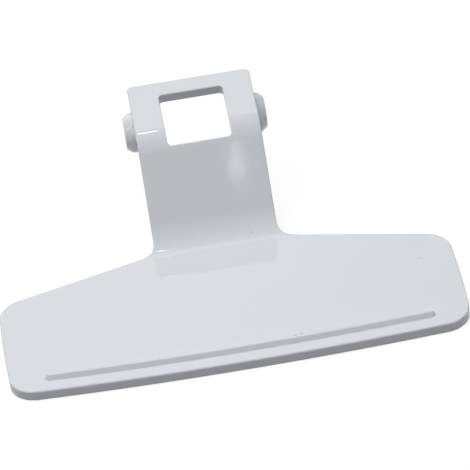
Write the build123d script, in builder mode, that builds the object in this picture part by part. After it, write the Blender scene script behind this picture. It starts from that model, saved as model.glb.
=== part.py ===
from build123d import *
from math import acos, asin, atan2, cos, degrees, radians, sin, sqrt, tan
import os

# Door handle of a front loading washing machine, one plastic moulding.
# Millimetres. X runs across the handle, Y from the grip edge towards the latch, Z up.
# The handle lies on the flat outer face of its grip paddle, at Z = 0.

# Driving sizes, grip paddle
paddle_width = 118.0
paddle_depth = 54.1
paddle_thickness = 2.8
front_edge_radius = 845.0
side_bow = 0.5
back_edge_sweep = 15.4
back_edge_setback = 2.95
front_corner_radius = 7.0
back_corner_radius = 7.4
neck_root_radius = 4.8
top_edge_round = 0.4
underside_round = 0.35

# Driving sizes, grip rib
rib_setback = 3.85
rib_base_width = 2.5
rib_height = 1.2
rib_draft = 34.0
rib_length = 100.0
rib_round = 0.45

# Driving sizes, neck and latch frame
neck_width = 32.5
neck_length = 27.8
neck_angle = 55.9
frame_length = 20.5
frame_angle = 10.9
plate_thickness = 2.75
lower_bend_radius = 10.4
upper_bend_radius = 8.7
frame_corner_radius = 1.3

# Driving sizes, window in the latch frame
window_width = 16.9
window_start = -1.3
window_end = 15.5
window_corner_radius = 1.1
window_round = 0.3

# Driving sizes, side ears and pivot stubs
pivot_below_bend = 5.55
ear_thickness = 2.7
ear_margin = 1.0
ear_foot_distance = 5.0
stub_radius = 5.3
stub_collar = 0.9
stub_tip_radius = 4.1
stub_length = 2.5
stub_tip_round = 0.5

# The side profile is laid out from the corner where the paddle's top and the neck's front would meet.
half_width = paddle_width / 2
half_neck = neck_width / 2
neck_y = cos(radians(neck_angle))
neck_z = sin(radians(neck_angle))
frame_y = cos(radians(frame_angle))
frame_z = sin(radians(frame_angle))
upper_corner = (neck_length * neck_y, neck_length * neck_z)
frame_end = (upper_corner[0] + frame_length * frame_y, upper_corner[1] + frame_length * frame_z)
overall_depth = paddle_depth + frame_end[0]
shift_y = paddle_depth - overall_depth / 2
top_z = paddle_thickness


def at(y, z):
    """A point of the side profile, moved into the part's own frame."""
    return (y + shift_y, z + top_z)


# Points of the side profile
run_out = 10.0
under_corner_y = (plate_thickness - paddle_thickness * neck_y) / neck_z
under_corner = (under_corner_y, -paddle_thickness)
bend_turn = radians(neck_angle - frame_angle) / 2
neck_turn = radians(neck_angle) / 2
inner_corner = (
    upper_corner[0] + plate_thickness * neck_z - plate_thickness * tan(bend_turn) * neck_y,
    upper_corner[1] - plate_thickness * neck_y - plate_thickness * tan(bend_turn) * neck_z,
)
far_top = (frame_end[0] + run_out * frame_y, frame_end[1] + run_out * frame_z)
far_under = (far_top[0] + plate_thickness * frame_z, far_top[1] - plate_thickness * frame_y)
near_y = -paddle_depth - run_out

# Plan outline
front_y = shift_y - paddle_depth
far_y = shift_y + frame_end[0]
sweep = tan(radians(back_edge_sweep))
root_y = shift_y - back_edge_setback
side_x = half_width - side_bow
corner_back_y = root_y - sweep * (side_x - half_neck)
front_centre_y = front_y + front_edge_radius
corner_front_y = front_centre_y - sqrt(front_edge_radius**2 - side_x**2)
side_middle_y = (corner_front_y + corner_back_y) / 2

# Pivot axis and ears: the ears' back edges stand where the frame's rounded corners begin.
ear_radius = stub_radius + ear_margin
ear_back_y = far_y - frame_corner_radius
pivot_y = ear_back_y - ear_radius
pivot_z = top_z + upper_corner[1] - pivot_below_bend
ear_x = half_neck - ear_thickness
stub_root = ear_thickness / 2
stub_x = half_neck + stub_length
plate_middle = plate_thickness / 2
ear_top = at(
    upper_corner[0] + plate_middle * neck_z - plate_middle * tan(bend_turn) * neck_y,
    upper_corner[1] - plate_middle * neck_y - plate_middle * tan(bend_turn) * neck_z,
)
ear_top_back = (ear_back_y, ear_top[1] + (ear_back_y - ear_top[0]) * frame_z / frame_y)
foot_run = neck_length - ear_foot_distance
ear_foot = at(foot_run * neck_y + plate_middle * neck_z, foot_run * neck_z - plate_middle * neck_y)
foot_dy = ear_foot[0] - pivot_y
foot_dz = ear_foot[1] - pivot_z
foot_angle = atan2(foot_dz, foot_dy) + acos(ear_radius / sqrt(foot_dy**2 + foot_dz**2))
ear_touch = (pivot_y + ear_radius * cos(foot_angle), pivot_z + ear_radius * sin(foot_angle))
under_angle = (foot_angle + radians(360)) / 2
ear_under = (pivot_y + ear_radius * cos(under_angle), pivot_z + ear_radius * sin(under_angle))

# Grip rib, on an arc that shares the front edge's centre
rib_arc_radius = front_edge_radius - rib_setback - rib_base_width / 2
rib_half_angle = degrees(asin((rib_length - rib_base_width) / 2 / rib_arc_radius))
rib_top_width = rib_base_width - 2 * rib_height * tan(radians(rib_draft))


with BuildPart() as door_handle:
    # Plan outline of the paddle, the neck and the frame, as an upright block
    with BuildSketch() as plan:
        with BuildLine() as outline:
            ThreePointArc((-side_x, corner_front_y), (0, front_y), (side_x, corner_front_y))
            ThreePointArc((side_x, corner_front_y), (half_width, side_middle_y), (side_x, corner_back_y))
            Line((side_x, corner_back_y), (half_neck, root_y))
            Line((half_neck, root_y), (half_neck, far_y))
            Line((half_neck, far_y), (-half_neck, far_y))
            Line((-half_neck, far_y), (-half_neck, root_y))
            Line((-half_neck, root_y), (-side_x, corner_back_y))
            ThreePointArc((-side_x, corner_back_y), (-half_width, side_middle_y), (-side_x, corner_front_y))
        make_face()
        corners = plan.vertices().sort_by(Axis.Y)
        fillet(corners[0:2], radius=front_corner_radius)
        corners = plan.vertices().filter_by(lambda v: abs(v.Y - corner_back_y) < 0.01)
        fillet(corners, radius=back_corner_radius)
        corners = plan.vertices().filter_by(lambda v: abs(v.Y - root_y) < 0.01)
        fillet(corners, radius=neck_root_radius)
        corners = plan.vertices().filter_by(lambda v: abs(v.Y - far_y) < 0.01)
        fillet(corners, radius=frame_corner_radius)
    extrude(amount=2 * neck_length)

    # Side profile of the bent plate, which cuts the block to its thickness
    with BuildSketch(Plane.YZ) as profile:
        with BuildLine() as section:
            Polyline(
                at(near_y, 0),
                at(0, 0),
                at(upper_corner[0], upper_corner[1]),
                at(far_top[0], far_top[1]),
                at(far_under[0], far_under[1]),
                at(inner_corner[0], inner_corner[1]),
                at(under_corner[0], under_corner[1]),
                at(near_y, -paddle_thickness),
                close=True,
            )
        make_face()

        def near(place):
            """The profile's corner at a place of the side profile."""
            y, z = at(place[0], place[1])
            return profile.vertices().sort_by_distance(Vector(y, z, 0))[0:1]

        fillet(near((0, 0)), radius=lower_bend_radius)
        fillet(near(upper_corner), radius=upper_bend_radius)
        fillet(near(inner_corner), radius=upper_bend_radius - plate_thickness)
        fillet(near(under_corner), radius=lower_bend_radius + plate_thickness)
    extrude(amount=paddle_width, both=True, mode=Mode.INTERSECT)

    # Rounds along the rim of the top skin and of the underside
    skin = door_handle.faces().filter_by(lambda f: f.normal_at().Z > 0.3)
    rim = [e for e in skin.edges() if sum(e in f.edges() for f in skin) == 1]
    fillet(rim, radius=top_edge_round)
    back = door_handle.faces().filter_by(lambda f: f.normal_at().Z < -0.3)
    back = back.filter_by(lambda f: f.area > 40)
    rim = [e for e in back.edges() if sum(e in f.edges() for f in back) == 1]
    fillet(rim, radius=underside_round)

    # Window through the frame, square to the frame's own plane
    frame_plane = Plane(
        origin=(0, *at(upper_corner[0], upper_corner[1])),
        x_dir=(1, 0, 0),
        z_dir=(0, -frame_z, frame_y),
    )
    with BuildSketch(frame_plane):
        with Locations((0, (window_start + window_end) / 2)):
            RectangleRounded(window_width, window_end - window_start, window_corner_radius)
    extrude(amount=3 * plate_thickness, both=True, mode=Mode.SUBTRACT)
    lip = door_handle.edges(Select.LAST)
    lip = lip.filter_by(lambda e: frame_plane.to_local_coords(e.center()).Z > -plate_thickness / 4)
    fillet(lip, radius=window_round)

    # Side ears under the frame
    with BuildSketch(Plane.YZ.offset(ear_x)) as ear:
        with BuildLine():
            Line(ear_top, ear_top_back)
            Line(ear_top_back, (ear_back_y, pivot_z))
            ThreePointArc((ear_back_y, pivot_z), ear_under, ear_touch)
            Line(ear_touch, ear_foot)
            Line(ear_foot, ear_top)
        make_face()
    extrude(amount=ear_thickness)
    mirror(extrude(ear.sketch, amount=ear_thickness, mode=Mode.PRIVATE), about=Plane.YZ)

    # Pivot stubs: a short round collar, then a cone to a blunt tip
    with BuildSketch(Plane.XY.offset(pivot_z)) as stub:
        with BuildLine():
            Polyline(
                (half_neck - stub_root, pivot_y),
                (half_neck - stub_root, pivot_y + stub_radius),
                (half_neck + stub_collar, pivot_y + stub_radius),
                (stub_x, pivot_y + stub_tip_radius),
                (stub_x, pivot_y),
                close=True,
            )
        make_face()
        tip = stub.vertices().filter_by(lambda v: abs(v.X - stub_x) < 0.01).sort_by(Axis.Y)[-1]
        fillet(tip, radius=stub_tip_round)
    pivot_axis = Axis((0, pivot_y, pivot_z), (1, 0, 0))
    revolve(axis=pivot_axis)
    mirror(revolve(stub.sketch, axis=pivot_axis, mode=Mode.PRIVATE), about=Plane.YZ)

    # Grip rib along the front of the paddle
    with BuildSketch(Plane.XY.offset(top_z)):
        SlotArc(
            CenterArc(
                (0, front_centre_y),
                rib_arc_radius,
                270 - rib_half_angle,
                2 * rib_half_angle,
                mode=Mode.PRIVATE,
            ),
            rib_base_width,
        )
    with BuildSketch(Plane.XY.offset(top_z + rib_height)):
        SlotArc(
            CenterArc(
                (0, front_centre_y),
                rib_arc_radius,
                270 - rib_half_angle,
                2 * rib_half_angle,
                mode=Mode.PRIVATE,
            ),
            rib_top_width,
        )
    loft()
    crest = door_handle.edges(Select.LAST)
    crest = crest.filter_by(lambda e: abs(e.center().Z - top_z - rib_height) < 0.01)
    fillet(crest, radius=rib_round)
door_handle.part.label = "door_handle"

os.makedirs("parts", exist_ok=True)
export_step(door_handle.part, "parts/door_handle.step")
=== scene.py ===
"""The looks of a washing machine door handle: its plastic, a pale floor, soft lamps and a camera.

The handle is one plastic moulding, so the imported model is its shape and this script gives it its
finish. Lengths are metres in the handle's own frame: X runs across it, Y from the grip edge towards
the latch frame, and Z up. Angles are degrees where they are stated and radians where they are used.
"""

import logging
import math
from collections.abc import Mapping
from dataclasses import dataclass, field
from enum import Enum

import bpy
from mathutils import Matrix, Vector

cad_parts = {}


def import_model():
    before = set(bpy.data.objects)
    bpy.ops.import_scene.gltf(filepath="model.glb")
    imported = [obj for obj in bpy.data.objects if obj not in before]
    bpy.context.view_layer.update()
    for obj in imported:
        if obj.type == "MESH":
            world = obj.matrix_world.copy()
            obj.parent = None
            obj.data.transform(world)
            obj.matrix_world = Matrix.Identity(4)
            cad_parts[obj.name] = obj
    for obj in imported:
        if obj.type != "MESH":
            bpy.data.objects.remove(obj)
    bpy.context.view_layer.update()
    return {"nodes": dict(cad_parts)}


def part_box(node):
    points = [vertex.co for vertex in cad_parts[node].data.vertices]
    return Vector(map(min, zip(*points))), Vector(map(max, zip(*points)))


LOG = logging.getLogger("door_handle")
MIX_FIRST, MIX_SECOND, MIX_RESULT = 6, 7, 2  # the colour sockets of a Mix node, by number
Point = tuple[float, float, float]
Colour = tuple[float, float, float, float]


class Ray(Enum):
    """The rays that a stage surface answers to, by their names on the light path node."""

    CAMERA = "Is Camera Ray"
    GLOSSY = "Is Glossy Ray"
    TRANSMISSION = "Is Transmission Ray"


class Signal:
    """A number that varies over a surface, which Python sums and products can be written with."""

    def __init__(self, board: "NodeBoard", socket: bpy.types.NodeSocket) -> None:
        """Keep the socket and the board that its sums are added to.

        Args:
            board: The node tree that the socket belongs to.
            socket: The output that carries the number.
        """
        self.board = board
        self.socket = socket

    def join(self, operation: str, *operands: "Signal | float") -> "Signal":
        """Add one Math node.

        Args:
            operation: The Math node's operation.
            operands: Its inputs, in order.

        Returns:
            The node's result.
        """
        node = self.board.add("ShaderNodeMath", {"operation": operation}, dict(enumerate(operands)))
        return Signal(self.board, node.outputs[0])

    def __add__(self, other: "Signal | float") -> "Signal":
        """Return self + other."""
        return self.join("ADD", self, other)

    def __radd__(self, other: float) -> "Signal":
        """Return other + self."""
        return self.join("ADD", other, self)

    def __sub__(self, other: "Signal | float") -> "Signal":
        """Return self - other."""
        return self.join("SUBTRACT", self, other)

    def __rsub__(self, other: float) -> "Signal":
        """Return other - self."""
        return self.join("SUBTRACT", other, self)

    def __mul__(self, other: "Signal | float") -> "Signal":
        """Return self * other."""
        return self.join("MULTIPLY", self, other)

    def __rmul__(self, other: float) -> "Signal":
        """Return other * self."""
        return self.join("MULTIPLY", other, self)

    def __truediv__(self, other: "Signal | float") -> "Signal":
        """Return self / other."""
        return self.join("DIVIDE", self, other)

    def fade(self, start: float, end: float) -> "Signal":
        """Turn the number into a smooth step.

        Args:
            start: The number that gives 0.
            end: The number that gives 1.

        Returns:
            A number from 0 to 1.
        """
        settings = {"interpolation_type": "SMOOTHSTEP"}
        values = {"Value": self, "From Min": start, "From Max": end}
        return Signal(self.board, self.board.add("ShaderNodeMapRange", settings, values).outputs[0])


class NodeBoard:
    """The node tree of one material or world."""

    def __init__(self, owner: bpy.types.Material | bpy.types.World) -> None:
        """Empty the owner's node tree.

        Args:
            owner: The material or world whose nodes are made here.
        """
        owner.use_nodes = True
        self.tree = owner.node_tree
        self.tree.nodes.clear()

    def add(
        self,
        kind: str,
        settings: Mapping[str, object] | None = None,
        sockets: Mapping[str | int, object] | None = None,
    ) -> bpy.types.Node:
        """Add one node, set its settings and then its sockets.

        Args:
            kind: The node's type.
            settings: Its properties by name.
            sockets: Its inputs by name or index, each with a value, a socket or a signal.

        Returns:
            The new node.
        """
        node = self.tree.nodes.new(kind)
        for name, value in (settings or {}).items():
            setattr(node, name, value)
        for key, value in (sockets or {}).items():
            if isinstance(value, Signal):
                value = value.socket
            if isinstance(value, bpy.types.NodeSocket):
                self.tree.links.new(value, node.inputs[key])
            else:
                node.inputs[key].default_value = value
        return node

    def signal(self, node: bpy.types.Node, output: str | int = 0) -> Signal:
        """Return one of a node's outputs as a signal."""
        return Signal(self, node.outputs[output])

    def place(self) -> tuple[bpy.types.NodeSocket, list[Signal]]:
        """Read the point of the surface that is shaded.

        Returns:
            Its place as a vector, and its X, Y and Z.
        """
        vector = self.add("ShaderNodeTexCoord").outputs["Object"]
        parts = self.add("ShaderNodeSeparateXYZ", sockets={"Vector": vector})
        return vector, [Signal(self, output) for output in parts.outputs]

    def rays(self, *kinds: Ray) -> Signal:
        """Tell the given rays from all others.

        Args:
            kinds: The rays that give 1.

        Returns:
            1 for those rays and 0 for others.
        """
        path = self.add("ShaderNodeLightPath")
        total = Signal(self, path.outputs[kinds[0].value])
        for kind in kinds[1:]:
            total = total + Signal(self, path.outputs[kind.value])
        return total


@dataclass(frozen=True)
class Speck:
    """A small dark mark on the paddle's top skin.

    Attributes:
        x: Its middle across the handle.
        y: Its middle from front to back.
        length: Its longer size.
        width: Its shorter size.
        turn: The angle of its length from X, in degrees.
        depth: How much of the colour it takes away.
    """

    x: float
    y: float
    length: float
    width: float
    turn: float
    depth: float


@dataclass(frozen=True)
class GlossPlastic:
    """White moulded plastic with a soft gloss and a faint grain.

    Attributes:
        colour: Its colour.
        ior: Its index of refraction.
        roughness: Its roughness where the skin is cleanest.
        roughness_spread: How much rougher the dull patches are.
        tone_spread: How far the colour varies, over the patches and over the grain.
        patch_size: The size of the patches in which tone and roughness vary.
        grain_size: The size of the skin's grain.
        grain_height: The height of the grain.
        ripple_size: The length of the slow ripples left by the mould's polish.
        ripple_height: The height of those ripples.
        specks: The dark marks on the paddle.
        speck_edge: The squared radii, in parts of a speck's own, where it starts and is full.
        skin_height: The height of the paddle's top skin, which the specks lie on.
        skin_margins: How far below that the specks start and are full, which keeps them off the
            underside.
    """

    colour: Colour = (0.772, 0.800, 0.843, 1.0)
    ior: float = 1.48
    roughness: float = 0.03
    roughness_spread: float = 0.02
    tone_spread: float = 0.02
    patch_size: float = 0.030
    grain_size: float = 0.0006
    grain_height: float = 0.000001
    ripple_size: float = 0.009
    ripple_height: float = 0.00002
    speck_edge: tuple[float, float] = (1.6, 0.2)
    skin_height: float = 0.0028
    skin_margins: tuple[float, float] = (0.0002, 0.0001)
    specks: tuple[Speck, ...] = (
        Speck(0.01413, -0.03755, 0.0012, 0.0004, 0.0, 0.40),
        Speck(0.01574, -0.03735, 0.0012, 0.0004, 0.0, 0.40),
        Speck(0.00920, 0.00770, 0.0010, 0.0010, 0.0, 0.10),
        Speck(0.04999, -0.01411, 0.0012, 0.0009, 0.0, 0.10),
    )

    def noise(
        self, board: NodeBoard, place: bpy.types.NodeSocket, size: float, detail: float
    ) -> Signal:
        """Add a cloud pattern fixed to the handle.

        Args:
            board: The node tree.
            place: The point that is shaded.
            size: The length of one cloud.
            detail: How many finer layers it has.

        Returns:
            A number around 0.5.
        """
        values = {"Vector": place, "Scale": 1.0 / size, "Detail": detail, "Roughness": 0.55}
        return board.signal(board.add("ShaderNodeTexNoise", sockets=values))

    def speck_mask(self, board: NodeBoard, axes: list[Signal]) -> Signal:
        """Draw the specks.

        Args:
            board: The node tree.
            axes: The X, Y and Z of the point that is shaded.

        Returns:
            How much colour the specks take away.
        """
        x, y, z = axes
        total = None
        for speck in self.specks:
            cos, sin = math.cos(math.radians(speck.turn)), math.sin(math.radians(speck.turn))
            along = ((x - speck.x) * cos + (y - speck.y) * sin) / (speck.length / 2)
            across = ((y - speck.y) * cos - (x - speck.x) * sin) / (speck.width / 2)
            mask = (along * along + across * across).fade(*self.speck_edge) * speck.depth
            total = mask if total is None else total + mask
        return total * z.fade(*(self.skin_height - margin for margin in self.skin_margins))

    def material(self, name: str) -> bpy.types.Material:
        """Make the material.

        Args:
            name: The material's name.

        Returns:
            The material.
        """
        made = bpy.data.materials.new(name)
        board = NodeBoard(made)
        place, axes = board.place()
        patches = self.noise(board, place, self.patch_size, 2.0)
        grain = self.noise(board, place, self.grain_size, 2.0)
        ripple = self.noise(board, place, self.ripple_size, 1.0)
        shade = self.speck_mask(board, axes)
        tone = 1.0 - (patches + grain - 1.0) * self.tone_spread - shade
        grey = board.add("ShaderNodeCombineXYZ", sockets={0: tone, 1: tone, 2: tone})
        tinted = board.add(
            "ShaderNodeMix",
            {"data_type": "RGBA", "blend_type": "MULTIPLY"},
            {"Factor": 1.0, MIX_FIRST: self.colour, MIX_SECOND: grey.outputs[0]},
        )
        height = (grain - 0.5) * self.grain_height + (ripple - 0.5) * self.ripple_height
        levels = {"Strength": 1.0, "Distance": 1.0, "Height": height}
        bump = board.add("ShaderNodeBump", sockets=levels)
        shader = board.add(
            "ShaderNodeBsdfPrincipled",
            sockets={
                "Base Color": tinted.outputs[MIX_RESULT],
                "Roughness": patches * self.roughness_spread + self.roughness,
                "IOR": self.ior,
                "Normal": bump.outputs[0],
            },
        )
        board.add("ShaderNodeOutputMaterial", sockets={"Surface": shader.outputs[0]})
        return made


@dataclass
class DoorHandle:
    """The handle, one moulding: paddle with its rib, cranked neck, latch frame, ears and stubs.

    Attributes:
        node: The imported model's node.
        slot: The name of its material.
        finish: The plastic that it is moulded from.
    """

    node: str = "door_handle"
    slot: str = "handle_plastic"
    finish: GlossPlastic = field(default_factory=GlossPlastic)

    def dress(self, nodes: Mapping[str, bpy.types.Object]) -> bpy.types.Object:
        """Give the moulding its plastic.

        Args:
            nodes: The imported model's objects by name.

        Returns:
            The moulding.
        """
        moulding = nodes[self.node]
        plastic = self.finish.material(self.slot + "_finish")
        for slot in moulding.material_slots:
            slot.material = plastic
        low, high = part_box(self.node)
        LOG.info("%s: %s mm", self.node, [round(side * 1000, 1) for side in high - low])
        return moulding


@dataclass(frozen=True)
class SoftBox:
    """A lamp with a flat oblong front that faces the handle.

    Attributes:
        name: The lamp's name.
        place: Where it stands.
        width: The level side of its front.
        height: The other side of its front.
        power: Its power in watts.
        mirrored: Whether the plastic's gloss shows it, as it does the window and the small lamps that
            leave the glints. The other broad lamps only give an even light.
    """

    name: str
    place: Point
    width: float
    height: float
    power: float
    mirrored: bool = True


@dataclass
class Studio:
    """The floor, the white surroundings and the lamps.

    Attributes:
        lamps: The soft boxes.
        aim: The point that they all face.
        floor_size: The side of the square floor.
        floor_gap: How far the floor lies below the handle's flat outer face.
        floor_colour: The floor's colour in the light that it sends back to the handle.
        shadow_colour: The part of the floor's white that a shadow takes away.
        glow: The part of the floor's white that stays in a shadow.
        wall_top: The sine of the angle up to which reflections show a white wall.
        wall_blur: How far above that the wall fades out.
    """

    lamps: tuple[SoftBox, ...] = (
        SoftBox("lamp_ceiling", (-0.22, 0.0, 1.0), 0.9, 0.9, 10.15, mirrored=False),
        SoftBox("lamp_window", (0.0405, 0.681, 0.731), 0.9, 0.46, 0.61),
        SoftBox("lamp_back_left", (-0.551, 0.827, 0.218), 0.08, 0.08, 0.10),
        SoftBox("lamp_right", (0.75, -0.60, 0.45), 0.30, 0.30, 0.7, mirrored=False),
        SoftBox("lamp_right_low", (1.0, 0.15, 0.10), 0.30, 0.30, 0.6, mirrored=False),
        SoftBox("lamp_underside", (0.0, 0.5, -0.9), 0.9, 0.9, 4.5, mirrored=False),
        SoftBox("spark_bends", (0.0121, 0.3189, 0.7708), 0.008, 0.05, 0.014),
        SoftBox("spark_frame", (0.0507, 0.3189, 0.7708), 0.002, 0.02, 0.0008),
        SoftBox("spark_stub", (-0.752, 0.047, 0.341), 0.03, 0.05, 0.03),
        SoftBox("spark_neck", (0.0497, -0.6499, 0.4540), 0.004, 0.018, 0.0014),
    )
    aim: Point = (0.0, -0.01, 0.01)
    floor_size: float = 8.0
    floor_gap: float = 0.0001
    floor_colour: Colour = (0.45, 0.45, 0.45, 1.0)
    shadow_colour: Colour = (0.22, 0.22, 0.22, 1.0)
    glow: float = 0.85
    wall_top: float = 0.84
    wall_blur: float = 0.06

    def light(self) -> None:
        """Stand the lamps round the handle."""
        for box in self.lamps:
            data = bpy.data.lights.new(box.name, "AREA")
            data.shape = "RECTANGLE"
            data.size, data.size_y = box.width, box.height
            data.energy = box.power
            lamp = bpy.data.objects.new(box.name, data)
            bpy.context.scene.collection.objects.link(lamp)
            lamp.location = box.place
            lamp.visible_glossy = box.mirrored
            facing = Vector(self.aim) - Vector(box.place)
            lamp.rotation_euler = facing.to_track_quat("-Z", "Y").to_euler()
            LOG.info("%s: %.2f W", box.name, box.power)

    def floor(self) -> bpy.types.Object:
        """Lay the floor: white to the camera and in reflections, with the handle's soft shadow.

        It is clear from below, so that the handle's outer face can be looked at too.

        Returns:
            The floor.
        """
        bpy.ops.object.select_all(action="DESELECT")
        bpy.ops.mesh.primitive_plane_add(size=self.floor_size, location=(0.0, 0.0, -self.floor_gap))
        floor = bpy.context.object
        floor.name = "studio_floor"
        floor.visible_shadow = False
        material = bpy.data.materials.new("floor_finish")
        board = NodeBoard(material)
        plain = board.add("ShaderNodeBsdfDiffuse", sockets={"Color": self.floor_colour})
        shaded = board.add("ShaderNodeBsdfDiffuse", sockets={"Color": self.shadow_colour})
        glow = board.add("ShaderNodeEmission", sockets={"Strength": self.glow})
        seen = board.add("ShaderNodeAddShader", sockets={0: shaded.outputs[0], 1: glow.outputs[0]})
        mix = {0: board.rays(*Ray), 1: plain.outputs[0], 2: seen.outputs[0]}
        top = board.add("ShaderNodeMixShader", sockets=mix)
        below = board.add("ShaderNodeNewGeometry").outputs["Backfacing"]
        clear = board.add("ShaderNodeBsdfTransparent")
        sides = {0: below, 1: top.outputs[0], 2: clear.outputs[0]}
        surface = board.add("ShaderNodeMixShader", sockets=sides)
        board.add("ShaderNodeOutputMaterial", sockets={"Surface": surface.outputs[0]})
        floor.data.materials.append(material)
        LOG.info("studio_floor: %.1f m square", self.floor_size)
        return floor

    def surroundings(self) -> None:
        """Make the world white to the camera. Reflections show a white wall and a dark ceiling."""
        world = bpy.data.worlds.new("studio_white")
        board = NodeBoard(world)
        direction = board.add("ShaderNodeTexCoord").outputs["Generated"]
        parts = board.add("ShaderNodeSeparateXYZ", sockets={"Vector": direction})
        height = board.signal(parts, "Z")
        wall = height.fade(self.wall_top + self.wall_blur, self.wall_top)
        seen = board.rays(Ray.CAMERA) + board.rays(Ray.GLOSSY, Ray.TRANSMISSION) * wall
        white = board.add("ShaderNodeBackground", sockets={"Strength": seen})
        board.add("ShaderNodeOutputWorld", sockets={"Surface": white.outputs[0]})
        bpy.context.scene.world = world


@dataclass(frozen=True)
class Viewpoint:
    """The camera, where the photograph was taken from.

    Attributes:
        azimuth: Its angle round the handle, in degrees from straight in front of the grip edge.
        elevation: Its angle above the floor, in degrees.
        roll: How far it is turned on its own axis, in degrees.
        distance: How far it stands from the point in the middle of its picture.
        target: The point in the middle of its picture.
        lens: Its focal length in millimetres.
        sensor: The width of its sensor in millimetres.
        clip_start: How near it still sees.
    """

    azimuth: float = 3.377
    elevation: float = 36.0
    roll: float = -7.376
    distance: float = 1.2
    target: Point = (0.005007, 0.008888, 0.002789)
    lens: float = 353.78
    sensor: float = 36.0
    clip_start: float = 0.05

    def set_up(self) -> bpy.types.Object:
        """Make the camera and look through it.

        Returns:
            The camera.
        """
        data = bpy.data.cameras.new("camera")
        data.lens = self.lens
        data.sensor_width = self.sensor
        data.clip_start = self.clip_start
        camera = bpy.data.objects.new("camera", data)
        bpy.context.scene.collection.objects.link(camera)
        azimuth, elevation = math.radians(self.azimuth), math.radians(self.elevation)
        level = math.cos(elevation)
        east, north = math.sin(azimuth), math.cos(azimuth)
        ahead = Vector((east * level, north * level, -math.sin(elevation)))
        across = Vector((north, -east, 0.0))
        upright = Matrix((across, across.cross(ahead), -ahead)).transposed()
        turned = upright @ Matrix.Rotation(math.radians(self.roll), 3, "Z")
        place = Vector(self.target) - ahead * self.distance
        camera.matrix_world = Matrix.LocRotScale(place, turned, None)
        bpy.context.scene.camera = camera
        LOG.info("camera: %.0f mm lens at %.1f m", self.lens, self.distance)
        return camera


def main() -> None:
    """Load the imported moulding, dress it and set up the studio and the camera."""
    logging.basicConfig(level=logging.INFO, format="%(name)s %(message)s")
    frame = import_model()
    Viewpoint().set_up()
    DoorHandle().dress(frame["nodes"])
    studio = Studio()
    studio.floor()
    studio.surroundings()
    studio.light()
    bpy.context.scene.view_settings.view_transform = "Standard"


if __name__ == "__main__":
    main()
